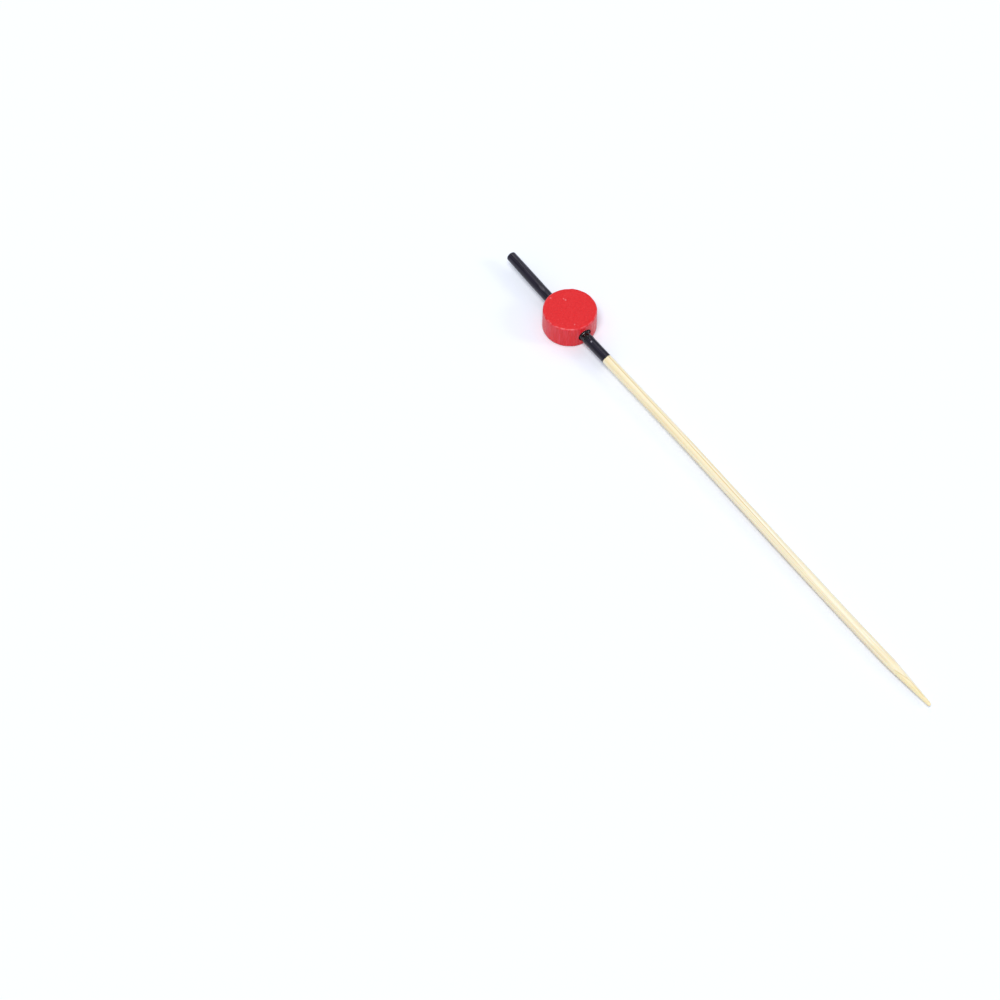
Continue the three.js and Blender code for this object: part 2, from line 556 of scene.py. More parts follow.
@dataclass(frozen=True)
class SatinPaint:
    """Red toy paint, tumbled on to a disc sawn from a birch dowel.

    The dowel's grain runs along the disc's axis, so the eye sees fine pores as stipple on the flat faces
    and as upright lines round the side, under a satin film with an orange-peel skin and a few pale specks.
    """

    red: str = "e22023"
    deep: str = "d9181d"
    # Pale specks and flaws, and the painted highlight on the rims and the side, take this colour.
    speck_and_highlight: str = "f8a8aa"
    # Painted shade: near black for the inside of the bore.
    bore_shade: str = "150f14"
    # Upright lines on the side: pores in the grain, the lighter ones also painted glints.
    side_grain_and_glint: str = "e44054"
    side_deep: str = "cb1e2c"
    # Birch pores are finer than a pixel and are drawn coarser, on the side and on the flat faces.
    side_size: tuple[float, float, float] = (0.14, 0.14, 5.0)
    grain_size: tuple[float, float, float] = (0.38, 0.38, 5.0)
    peel_size: tuple[float, float, float] = (0.45, 0.45, 0.45)
    speck_size: tuple[float, float, float] = (0.55, 0.55, 0.55)
    side_start: float = 5.78
    side_full: float = 5.98
    roughness: float = 0.32
    smoother_on_flaws_and_highlights: float = 0.25

    def make(self) -> bpy.types.Material:
        """Makes the material on Object coordinates.

        Returns:
            The material.
        """
        material, tree = new_material("satin_red_paint")
        place = add_node(tree, "ShaderNodeTexCoord").outputs["Object"]
        noises = []
        for size, detail in ((self.grain_size, 3.0), (self.peel_size, 2.0), (self.side_size, 2.0)):
            drawn = add_node(tree, "ShaderNodeMapping", inputs={"Vector": place, "Scale": repeats(size)})
            noise = add_node(
                tree,
                "ShaderNodeTexNoise",
                inputs={"Vector": drawn.outputs["Vector"], "Scale": 1.0, "Detail": detail},
            )
            noises.append(noise.outputs["Fac"])
        grain, peel, pores = noises
        pored = add_node(
            tree,
            "ShaderNodeMapRange",
            {"interpolation_type": "SMOOTHSTEP"},
            {"Value": grain, "From Min": 0.38, "From Max": 0.62},
        )
        layers = [(pored.outputs["Result"], self.deep)]

        # The side wall is where the distance from the disc's axis, in millimetres, is nearly its radius.
        across = add_node(
            tree,
            "ShaderNodeVectorMath",
            {"operation": "MULTIPLY"},
            {0: place, 1: (1.0 / MM, 1.0 / MM, 0.0)},
        )
        reach = add_node(
            tree,
            "ShaderNodeVectorMath",
            {"operation": "LENGTH"},
            {0: across.outputs["Vector"]},
        )
        on_side = add_node(
            tree,
            "ShaderNodeMapRange",
            inputs={
                "Value": reach.outputs["Value"],
                "From Min": self.side_start,
                "From Max": self.side_full,
            },
        )
        # Lighter and darker upright lines on the side wall; the lighter ones are partly painted glints.
        for start, end, colour in ((0.48, 0.7, self.side_grain_and_glint), (0.42, 0.28, self.side_deep)):
            line = add_node(
                tree,
                "ShaderNodeMapRange",
                {"interpolation_type": "SMOOTHSTEP"},
                {"Value": pores, "From Min": start, "From Max": end},
            )
            streak = add_node(
                tree,
                "ShaderNodeMath",
                {"operation": "MULTIPLY"},
                {0: line.outputs["Result"], 1: on_side.outputs["Result"]},
            )
            layers.append((streak.outputs["Value"], colour))

        drawn = add_node(
            tree,
            "ShaderNodeMapping",
            inputs={"Vector": place, "Scale": repeats(self.speck_size)},
        )
        specks = add_node(
            tree,
            "ShaderNodeTexVoronoi",
            {"feature": "F1"},
            {"Vector": drawn.outputs["Vector"], "Scale": 1.0},
        )
        speck_share = add_node(
            tree,
            "ShaderNodeMapRange",
            inputs={
                "Value": specks.outputs["Distance"],
                "From Min": 0.05,
                "From Max": 0.14,
                "To Min": 0.3,
                "To Max": 0.0,
            },
        )
        flaws_and_painted_highlight = add_node(tree, "ShaderNodeAttribute", {"attribute_name": "flaws_and_painted_highlight"})
        painted_bore_shade = add_node(tree, "ShaderNodeAttribute", {"attribute_name": "painted_bore_shade"})
        layers.append((speck_share.outputs["Result"], self.speck_and_highlight))
        layers.append((flaws_and_painted_highlight.outputs["Fac"], self.speck_and_highlight))
        layers.append((painted_bore_shade.outputs["Fac"], self.bore_shade))
        colour = linear(self.red)
        for share, over in layers:
            layer = add_node(
                tree,
                "ShaderNodeMix",
                {"data_type": "RGBA"},
                {MIX_SHARE: share, MIX_UNDER: colour, MIX_OVER: linear(over)},
            )
            colour = layer.outputs[MIX_RESULT]
        coarse = add_node(
            tree,
            "ShaderNodeMapRange",
            inputs={
                "Value": grain,
                "From Min": 0.3,
                "From Max": 0.7,
                "To Min": self.roughness - 0.06,
                "To Max": self.roughness + 0.1,
            },
        )
        rough = add_node(
            tree,
            "ShaderNodeMath",
            {"operation": "MULTIPLY_ADD"},
            {0: flaws_and_painted_highlight.outputs["Fac"], 1: -self.smoother_on_flaws_and_highlights, 2: coarse.outputs["Result"]},
        )
        relief = add_node(
            tree,
            "ShaderNodeMath",
            {"operation": "MULTIPLY_ADD"},
            {0: peel, 1: 0.5, 2: grain},
        )
        bump = add_node(
            tree,
            "ShaderNodeBump",
            inputs={"Height": relief.outputs["Value"], "Strength": 0.7, "Distance": 0.02 * MM},
        )
        shader = add_node(
            tree,
            "ShaderNodeBsdfPrincipled",
            inputs={
                "Base Color": colour,
                "Roughness": rough.outputs["Value"],
                "IOR": 1.41,
                "Normal": bump.outputs["Normal"],
            },
        )
        add_node(tree, "ShaderNodeOutputMaterial", inputs={"Surface": shader.outputs["BSDF"]})
        return material


@dataclass(frozen=True)
class ClearGlue:
    """Clear craft adhesive, squeezed out and cured, tinted dark grey as painted shade of the hole's mouth.

    The eye sees a wet-looking dark skin over what lies behind it, with small bright glints.
    """

    # Painted shade: a dark grey tint, so that the glue in the hole's mouth looks shaded.
    mouth_shade_tint: str = "60646c"
    blush_size: tuple[float, float, float] = (0.5, 0.5, 0.5)
    roughness: float = 0.07

    def make(self) -> bpy.types.Material:
        """Makes the material on Object coordinates.

        Returns:
            The material.
        """
        material, tree = new_material("clear_glue")
        place = add_node(tree, "ShaderNodeTexCoord").outputs["Object"]
        drawn = add_node(
            tree,
            "ShaderNodeMapping",
            inputs={"Vector": place, "Scale": repeats(self.blush_size)},
        )
        blush = add_node(
            tree,
            "ShaderNodeTexNoise",
            inputs={"Vector": drawn.outputs["Vector"], "Scale": 1.0, "Detail": 1.0},
        )
        rough = add_node(
            tree,
            "ShaderNodeMapRange",
            inputs={
                "Value": blush.outputs["Fac"],
                "From Min": 0.35,
                "From Max": 0.75,
                "To Min": self.roughness,
                "To Max": self.roughness + 0.08,
            },
        )
        bump = add_node(
            tree,
            "ShaderNodeBump",
            inputs={"Height": blush.outputs["Fac"], "Strength": 0.2, "Distance": 0.02 * MM},
        )
        shader = add_node(
            tree,
            "ShaderNodeBsdfPrincipled",
            inputs={
                "Base Color": linear(self.mouth_shade_tint),
                "Roughness": rough.outputs["Result"],
                "IOR": 1.48,
                "Transmission Weight": 1.0,
                "Normal": bump.outputs["Normal"],
            },
        )
        add_node(tree, "ShaderNodeOutputMaterial", inputs={"Surface": shader.outputs["BSDF"]})
        return material


@dataclass(frozen=True)
class Bundle:
    """One golden fibre bundle in the wood, a thin straight round rod between two places.

    Each place is X, then the angle round the stick in degrees from +Y to +Z, then the distance from the
    stick's middle in millimetres.
    """

    start: tuple[float, float, float]
    end: tuple[float, float, float]
    size: float
    strength: float

    def share(self, places: np.ndarray) -> np.ndarray:
        """How much of the bundle is cut open at places on the wood's surface.

        Args:
            places: Points relative to the stick's middle line, in millimetres.

        Returns:
            0 off the bundle, rising smoothly to its strength in its middle.
        """
        off = []
        for axis in (math.cos, math.sin):
            first = self.start[2] * axis(math.radians(self.start[1]))
            last = self.end[2] * axis(math.radians(self.end[1]))
            along = (places[:, 0] - self.start[0]) / (self.end[0] - self.start[0])
            off.append(places[:, len(off) + 1] - first - (last - first) * along)
        shown = smooth_step(-0.16, 0.0, along) * (1.0 - smooth_step(1.0, 1.16, along))
        return self.strength * shown * (1.0 - smooth_step(0.25 * self.size, self.size, np.hypot(*off)))


@dataclass(frozen=True)
class WoodLayers:
    """The make-up of the split bamboo: a level seam between dense and loose wood, and fibre bundles.

    The seam shows as two long lines on the shank and as a tongue where the point is ground through it.
    """

    seam: float = 0.78
    seam_width: float = 0.06
    seam_wander: float = 0.03
    seam_strength: float = 0.42
    heart_strength: float = 0.45
    underside_shade_strength: float = 0.14
    underside_shade_growth: float = 0.28
    point_start: float = 113.5
    count: int = 34
    seed: int = 51
    sway: Ripples = Ripples(seed=52, wavelength=(24.0, 2.4, 2.4), waves=24)
    fade: Ripples = Ripples(seed=53, wavelength=(34.0, 1.6, 1.6), waves=24)
    seen: tuple[Bundle, ...] = (
        Bundle((14.5, 83.0, 1.2), (80.0, 108.0, 1.2), 0.12, 0.9),
        Bundle((34.0, 66.0, 1.24), (64.0, 78.0, 1.2), 0.1, 0.3),
        Bundle((70.0, 121.0, 1.19), (118.0, 127.0, 1.23), 0.1, 0.4),
        Bundle((14.5, 139.0, 1.18), (60.0, 146.0, 1.24), 0.1, 0.35),
        Bundle((116.6, 136.0, 1.15), (120.6, 82.0, 0.93), 0.2, 0.5),
        Bundle((120.4, 82.0, 0.93), (124.8, 88.0, 0.56), 0.2, 0.45),
    )
    # Painted highlight: bands along the stick's upper side, laid as near-white wood colour.
    painted_highlight_bands: tuple[Bundle, ...] = (
        Bundle((14.5, 94.0, 1.2), (25.0, 97.0, 1.2), 0.2, 0.45),
        Bundle((46.0, 74.0, 1.2), (76.0, 90.0, 1.2), 0.32, 0.5),
        Bundle((68.0, 98.0, 1.2), (100.0, 109.0, 1.2), 0.36, 0.5),
        Bundle((94.0, 112.0, 1.2), (108.0, 116.0, 1.2), 0.4, 0.45),
        Bundle((106.0, 84.0, 1.2), (122.5, 62.0, 0.8), 0.3, 0.65),
        Bundle((15.0, 52.0, 1.22), (40.0, 55.0, 1.22), 0.34, 0.75),
        Bundle((110.0, 42.0, 1.22), (124.4, 50.0, 0.62), 0.42, 0.8),
    )
    hearts: tuple[Bundle, ...] = (
        Bundle((117.6, 148.0, 1.15), (125.0, 112.0, 0.5), 0.75, 0.75),
    )

    def bundles(self) -> list[Bundle]:
        """The bundles that are seen best, and seeded ones through the rest of the wood."""
        rng = np.random.default_rng(self.seed)
        found = list(self.seen)
        for _ in range(self.count):
            turn = rng.uniform(140.0, 420.0) if len(found) % 3 else rng.uniform(60.0, 140.0)
            depth = 1.24 * math.sqrt(rng.uniform(0.05, 1.0))
            drift = rng.normal(0.0, 6.0)
            sink = rng.normal(0.0, 0.05)
            size = rng.uniform(0.08, 0.13)
            strength = rng.uniform(0.12, 0.38)
            found.append(Bundle((10.0, turn, depth), (120.0, turn + drift, depth + sink), size, strength))
        return found

    def golden(self, places: np.ndarray) -> np.ndarray:
        """Share of golden fibre at places on the wood's surface, from the bundles and the seam.

        Args:
            places: Points relative to the stick's middle line, in millimetres.

        Returns:
            A share from 0 to 1 for each point.
        """
        total = np.zeros(len(places))
        for bundle in self.bundles():
            total = np.maximum(total, bundle.share(places))
        off = np.abs(places[:, 2] - self.seam - self.seam_wander * self.sway.at(places))
        line = 1.0 - smooth_step(0.2 * self.seam_width, self.seam_width, off)
        seen = self.seam_strength + 0.3 * np.clip(self.fade.at(places), -1.4, 1.4)
        seen = seen * (1.0 - smooth_step(self.point_start - 1.0, self.point_start + 3.0, places[:, 0]))
        return np.maximum(total, line * seen)

    def painted_wood_highlight(self, places: np.ndarray) -> np.ndarray:
        """Share of painted highlight: near-white bands along the upper side, which fade in and out."""
        total = np.zeros(len(places))
        for band in self.painted_highlight_bands:
            total = np.maximum(total, band.share(places))
        return total * np.clip(0.8 + 0.2 * self.fade.at(places), 0.0, 1.0)

    def inner(self, places: np.ndarray) -> np.ndarray:
        """Share of the yellower inner wood, which the ground point lays open towards its tip."""
        off_middle = np.hypot(places[:, 1], places[:, 2])
        total = self.heart_strength * (1.0 - smooth_step(0.5, 0.95, off_middle))
        for heart in self.hearts:
            total = np.maximum(total, heart.share(places))
        return total

    def under(self, places: np.ndarray) -> np.ndarray:
        """Share of painted shade: a browner, darker wood colour along the stick's underside."""
        turn = np.degrees(np.arctan2(places[:, 2], places[:, 1])) % 360.0
        turn = turn + 6.0 * self.sway.at(places)
        share = smooth_step(152.0, 186.0, turn) * (1.0 - smooth_step(262.0, 300.0, turn))
        strength = self.underside_shade_strength + self.underside_shade_growth * smooth_step(30.0, 70.0, places[:, 0])
        strength = strength + 0.08 * self.fade.at(places)
        return share * np.clip(strength, 0.0, 1.0)


@dataclass
class Stick:
    """The round bamboo stick: a square cut tail, a drawn shank and a ground point."""

    tail: float = float(STICK_LOW[0])
    tip: float = float(STICK_HIGH[0])
    axis_height: float = float(STICK_LOW[2] + STICK_HIGH[2]) / 2.0
    full_radius: float = float(STICK_HIGH[1])
    skin: float = 0.012
    film: float = 0.016
    point_length: float = 14.0
    point_fullness: float = 1.35
    tip_radius: float = 0.42
    tip_round: float = 0.5
    tail_round: float = 0.2
    tail_thinning: float = 0.05
    dye_end: float = 14.5
    aside: float = -0.08
    shank_aside: float = 0.1
    point_aside: float = 0.07
    bow: float = 0.27
    bow_start: float = 10.0
    bow_end: float = 113.5
    bow_share: float = 0.45
    point_thinning: float = 0.06
    wander: float = 0.11
    wander_length: float = 103.0
    wander_start: float = -8.0
    calm_length: float = 26.0
    fibre_height: float = 0.0045
    fine_height: float = 0.002
    grind_height: float = 0.004
    end_grain_depth: float = 0.02
    sides: int = 120
    shank_step: float = 0.26
    point_rings: int = 110
    edge_rings: int = 8
    end_rings: int = 13
    fibres: Ripples = Ripples(seed=11, wavelength=(26.0, 0.42, 0.42))
    fine: Ripples = Ripples(seed=12, wavelength=(9.0, 0.2, 0.2))
    grind: Ripples = Ripples(seed=14, wavelength=(1.1, 1.4, 1.4), waves=24)
    end_grain: Ripples = Ripples(seed=15, wavelength=(1.0, 0.3, 0.3))
    wood: WoodLayers = WoodLayers()

    def bare_radius(self, x: np.ndarray) -> np.ndarray:
        """Radius of the bamboo before its grain, in millimetres.

        The shank is round. Under the lacquer it is smaller by the film, and it thins a little to the
        tail, where it turns in on a quarter circle. On the point the radius lacks the more, the nearer the
        tip is, as a power of the share of the point that is left, and the very end is rounded over.

        Args:
            x: Place along the stick.

        Returns:
            The radius there.
        """
        drawn = self.full_radius - self.skin
        drawn = drawn - self.film * (1.0 - smooth_step(self.dye_end - 0.1, self.dye_end + 0.3, x))
        drawn = drawn - self.tail_thinning * (1.0 - smooth_step(self.tail, self.tail + 9.0, x))
        from_tip = np.clip(self.tip - x, 0.0, self.point_length)
        blunt = self.tip_radius / self.full_radius
        lacking = (1.0 - from_tip / self.point_length) ** self.point_fullness
        tapered = blunt + (1.0 - blunt) * (1.0 - lacking)
        to_round = np.clip(1.0 - from_tip / self.tip_round, 0.0, 1.0)
        ground = tapered * np.sqrt(1.0 - to_round**2)
        from_tail = np.clip(self.tail_round - (x - self.tail), 0.0, self.tail_round)
        turned_in = self.tail_round - np.sqrt(np.clip(self.tail_round**2 - from_tail**2, 0.0, None))
        on_point = smooth_step(self.tip - self.point_length, self.tip - 5.0, x)
        ground = ground * (1.0 - self.point_thinning * on_point)
        return drawn * ground - turned_in

    def centre(self, x: np.ndarray) -> np.ndarray:
        """Middle of the stick, which is not quite straight, as split bamboo never is.

        It wanders from side to side as a cosine along the stick, largest near the bead and before the
        point, which dies down to both ends. From the dyed end to the point it sags in half a sine wave,
        which lifts the point beyond it, and it leans aside by a share of the sag.

        Args:
            x: Place along the stick.

        Returns:
            X, Y and Z of the middle.
        """
        to_tip = smooth_step(self.tip - self.calm_length, self.tip, x)
        calm = smooth_step(self.tail - 3.0, self.tail + 14.0, x) * (1.0 - to_tip)
        swing = 0.7 + np.cos(2.0 * math.pi * (x - self.wander_start) / self.wander_length)
        aside = self.aside - self.wander * swing * calm
        aside = aside + self.shank_aside * smooth_step(-2.0, 30.0, x)
        aside = aside + self.point_aside * to_tip
        along = np.clip(x - self.bow_start, 0.0, None) / (self.bow_end - self.bow_start)
        sag = self.bow * np.sin(math.pi * along) * smooth_step(0.0, 0.15, along)
        return np.stack([x, aside + self.bow_share * sag, self.axis_height - sag], -1)

    def standing_off(self, x: np.ndarray, turn: np.ndarray, reach: np.ndarray) -> np.ndarray:
        """Points round the stick's middle.

        Args:
            x: Place along the stick, by ring and side.
            turn: Angle round the stick from +Y to +Z, one for each side.
            reach: Distance from the middle, by ring and side.

        Returns:
            Points by ring and side.
        """
        points = self.centre(x)
        points[..., 1] += reach * np.cos(turn)
        points[..., 2] += reach * np.sin(turn)
        return points

    def plain_round(self, x: np.ndarray, turn: np.ndarray) -> np.ndarray:
        """Points on a plain straight round of the stick's full radius, at which ripples are worked out.

        Args:
            x: Place along the stick, by ring and side.
            turn: Angle round the stick from +Y to +Z, one for each side.

        Returns:
            Points by ring and side.
        """
        across = self.full_radius * np.cos(turn)
        up = self.full_radius * np.sin(turn)
        return np.stack(np.broadcast_arrays(x, across, up), -1)

    def grain(self, places: np.ndarray) -> np.ndarray:
        """Height of the fibres' ripples at places on the plain round."""
        return self.fibre_height * self.fibres.at(places) + self.fine_height * self.fine.at(places)

    def around(self, x: np.ndarray, turn: np.ndarray, share: np.ndarray) -> np.ndarray:
        """Points on the grained surface of the stick, or under it.

        A point stands off the middle by the bare radius, with the fibres' ripples on it, which fade with
        the radius towards the tip, and with the grinding's ripples on the point.

        Args:
            x: Place along the stick, one for each ring.
            turn: Angle round the stick from +Y to +Z, one for each side.
            share: Share of the radius at each ring, 1 on the surface and 0 on the axis.

        Returns:
            Points by ring and side.
        """
        radius = self.bare_radius(x)[:, None]
        plain = self.plain_round(x[:, None], turn)
        shoulder = self.tip - self.point_length
        grinding = smooth_step(shoulder, shoulder + 2.0, x)[:, None]
        marks = self.grind_height * self.grind.at(plain) * grinding
        relief = np.clip(self.grain(plain) + marks, -self.skin, self.skin) * (radius / self.full_radius)
        return self.standing_off(plain[..., 0], turn, (radius + relief) * share[:, None])

    def stations(self) -> np.ndarray:
        """Places of the rings: close on the tail's edge, even on the shank, closing up to the tip."""
        shoulder = self.tip - self.point_length
        bend = np.linspace(0.0, math.pi / 2.0, self.edge_rings)
        edge = self.tail + self.tail_round * (1.0 - np.cos(bend))
        count = int(round((shoulder - edge[-1]) / self.shank_step))
        shank = np.linspace(edge[-1], shoulder, count + 1)[1:]
        point = self.tip - self.point_length * np.linspace(1.0, 0.0, self.point_rings + 1)[1:-1] ** 2
        return np.concatenate([edge, shank, point])

    def build(self) -> bpy.types.Object:
        """Makes the stick's mesh with its end grain.

        Returns:
            The piece.
        """
        turn = np.linspace(0.0, 2.0 * math.pi, self.sides, endpoint=False)
        x = self.stations()
        sheet = Sheet()
        body = self.around(x, turn, np.ones_like(x))
        start = sheet.add(body, ring_faces(len(x), self.sides))

        shares = np.linspace(0.0, 1.0, self.end_rings + 2)[1:-1]
        flat = self.around(np.full_like(shares, x[0]), turn, shares)
        flat[..., 0] += self.end_grain_depth * np.abs(self.end_grain.at(flat))
        end = sheet.add(flat, ring_faces(len(shares), self.sides))
        sheet.add_band(end + (len(shares) - 1) * self.sides, start, self.sides)
        sheet.add_pole(self.centre(x[:1]), end, self.sides, ahead=False)
        last = start + (len(x) - 1) * self.sides
        sheet.add_pole(self.centre(np.array([self.tip])), last, self.sides, ahead=True)
        piece = sheet.make("bamboo_stick_ground")
        places = vertex_places(piece)
        places[:, 1:] -= self.centre(places[:, 0])[:, 1:]
        wood = self.wood
        for name, share in (
            ("golden", wood.golden),
            ("painted_wood_highlight", wood.painted_wood_highlight),
            ("inner", wood.inner),
            ("under", wood.under),
        ):
            add_attribute(piece, name, share(places))
        return piece

    def dress(self, piece: bpy.types.Object, finish: GroundBamboo) -> None:
        """Gives the stick its finish and sets it on its body.

        Args:
            piece: The stick.
            finish: Its finish.
        """
        piece.data.materials.append(finish.make())
        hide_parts(Node.STICK.value)
        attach(piece, "root")


@dataclass
class Lacquer:
    """The black film over the tail of the stick, closed on itself, with an uneven edge."""

    stick: Stick
    body: float = 0.013
    sunk: float = 0.01
    rings: int = 340
    edge_rings: int = 8
    margin: float = 0.0005
    grain_share: float = 0.6
    blister_height: float = 0.006
    edge_back: float = 0.1
    edge_slant: float = 0.14
    edge_slant_turn: float = 0.85
    edge_fray: float = 0.03
    off_face: float = 0.002
    face_depth: float = 0.03
    core_lip: float = 0.012
    bare_core: float = 0.62
    core_fray: float = 0.12
    # Painted highlight: a light patch on the film's upper side behind the bead, and a streak up to it.
    highlight_at: float = -9.9
    highlight_length: float = 1.5
    highlight_turn: float = 1.75
    highlight_spread: float = 0.42
    highlight_strength: float = 0.27
    streak_strength: float = 0.06
    nib_at: float = 8.85
    nib_turn: float = 1.87
    nib_width: float = 0.36
    nib_height: float = 0.11
    edge_wander: Ripples = Ripples(seed=21, wavelength=(4.0, 1.1, 1.1), waves=24)
    blisters: Ripples = Ripples(seed=22, wavelength=(2.6, 1.1, 1.1), waves=32)

    def build(self) -> bpy.types.Object:
        """Makes the film as one closed skin.

        The film follows the stick's own surface from the edge of the dye back to the tail, round the
        tail's edge and a little way over the cut face. Its outer skin stands off by its thickness, which
        swells in low blisters and thins to nothing at both edges, and its inner skin is sunk.

        Returns:
            The piece.
        """
        stick = self.stick
        turn = np.linspace(0.0, 2.0 * math.pi, stick.sides, endpoint=False)
        rim = stick.plain_round(0.0, turn)
        slant = self.edge_slant * np.cos(2.0 * turn - self.edge_slant_turn)
        wander = self.edge_fray * self.edge_wander.at(rim) - self.edge_back - slant

        along = np.linspace(0.0, 1.0, self.rings)[:, None]
        first = stick.tail + stick.tail_round
        x = first + (stick.dye_end + wander[None, :] - first) * along
        radius = stick.bare_radius(x)
        place = stick.plain_round(x, turn)
        grain = self.grain_share * stick.grain(place)
        swell = self.blister_height * np.clip(self.blisters.at(place), 0.0, 1.5)
        fade = 1.0 - smooth_step(0.985, 1.0, along)
        outer = radius + grain + self.body * fade + swell * fade
        outer = np.minimum(outer, stick.full_radius - self.margin)
        from_nib = np.hypot(x - self.nib_at, (turn[None, :] - self.nib_turn) * stick.full_radius)
        outer = outer + self.nib_height * np.clip(1.0 - (from_nib / self.nib_width) ** 2, 0.0, 1.0)
        inner = radius - self.sunk

        bend = np.linspace(0.0, math.pi / 2.0, self.edge_rings + 1)[:-1][:, None]
        turn_in = stick.tail_round
        edge_out = outer[0][None, :] - turn_in * (1.0 - np.sin(bend))
        edge_x = stick.tail + self.off_face + turn_in * (1.0 - np.cos(bend)) + 0.0 * edge_out
        core = self.bare_core + self.core_fray * self.edge_wander.at(rim * 1.7 + 3.0)
        shares = np.linspace(0.0, 1.0, self.edge_rings + 1)[:-1][:, None]
        face_out = core[None, :] + (edge_out[0][None, :] - core[None, :]) * shares
        face_x = np.full_like(face_out, stick.tail + self.off_face)
        face_x[0] = stick.tail + self.core_lip

        outer_x = np.concatenate([face_x, edge_x, x])
        outer_r = np.concatenate([face_out, edge_out, outer])
        inner_x = np.concatenate(
            [face_x + self.face_depth, edge_x + self.face_depth, x[:-1], x[-1:] - self.sunk]
        )
        inner_r = np.concatenate([face_out, np.minimum(edge_out, inner[0]), inner])

        outside = stick.standing_off(outer_x, turn, outer_r)
        inside = stick.standing_off(inner_x, turn, inner_r)
        sheet = Sheet()
        sheet.add_shell(outside, inside)
        piece = sheet.make("black_lacquer_film", weld=1e-5)
        places = vertex_places(piece)
        places[:, 1:] -= stick.centre(places[:, 0])[:, 1:]
        add_attribute(piece, "painted_lacquer_highlight", self.painted_lacquer_highlight(places))
        return piece

    def painted_lacquer_highlight(self, places: np.ndarray) -> np.ndarray:
        """Share of painted highlight: a patch behind the bead, a light streak up to it, a glint on the nib.

        The patch is a soft oval along the stick on its upper side, broken up by the blisters.

        Args:
            places: Points relative to the stick's middle line, in millimetres.

        Returns:
            A share from 0 to 1 for each point.
        """
        turn = np.arctan2(places[:, 2], places[:, 1])
        off_along = (places[:, 0] - self.highlight_at) / self.highlight_length
        off = np.hypot(off_along, (turn - self.highlight_turn) / self.highlight_spread)
        broken = np.clip(0.7 + 0.3 * self.blisters.at(places * 1.6), 0.0, 1.0)
        patch = self.highlight_strength * (1.0 - smooth_step(0.3, 1.0, off)) * broken
        upper = smooth_step(0.9, 1.25, turn) * (1.0 - smooth_step(1.5, 1.9, turn))
        painted_streak = self.streak_strength * upper * (1.0 - smooth_step(-10.0, -6.0, places[:, 0]))
        to_nib = np.hypot(places[:, 0] - self.nib_at - 0.1, (turn - self.nib_turn) * self.stick.full_radius)
        nib = 1.0 - smooth_step(0.1, 0.8 * self.nib_width, to_nib)
        return np.maximum(np.maximum(patch, painted_streak), nib)

    def dress(self, piece: bpy.types.Object, finish: BlackLacquer) -> None:
        """Gives the film its finish and sets it on its body.

        Args:
            piece: The film.
            finish: Its finish.
        """
        piece.data.materials.append(finish.make())
        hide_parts(Node.STICK.value)
        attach(piece, "root")


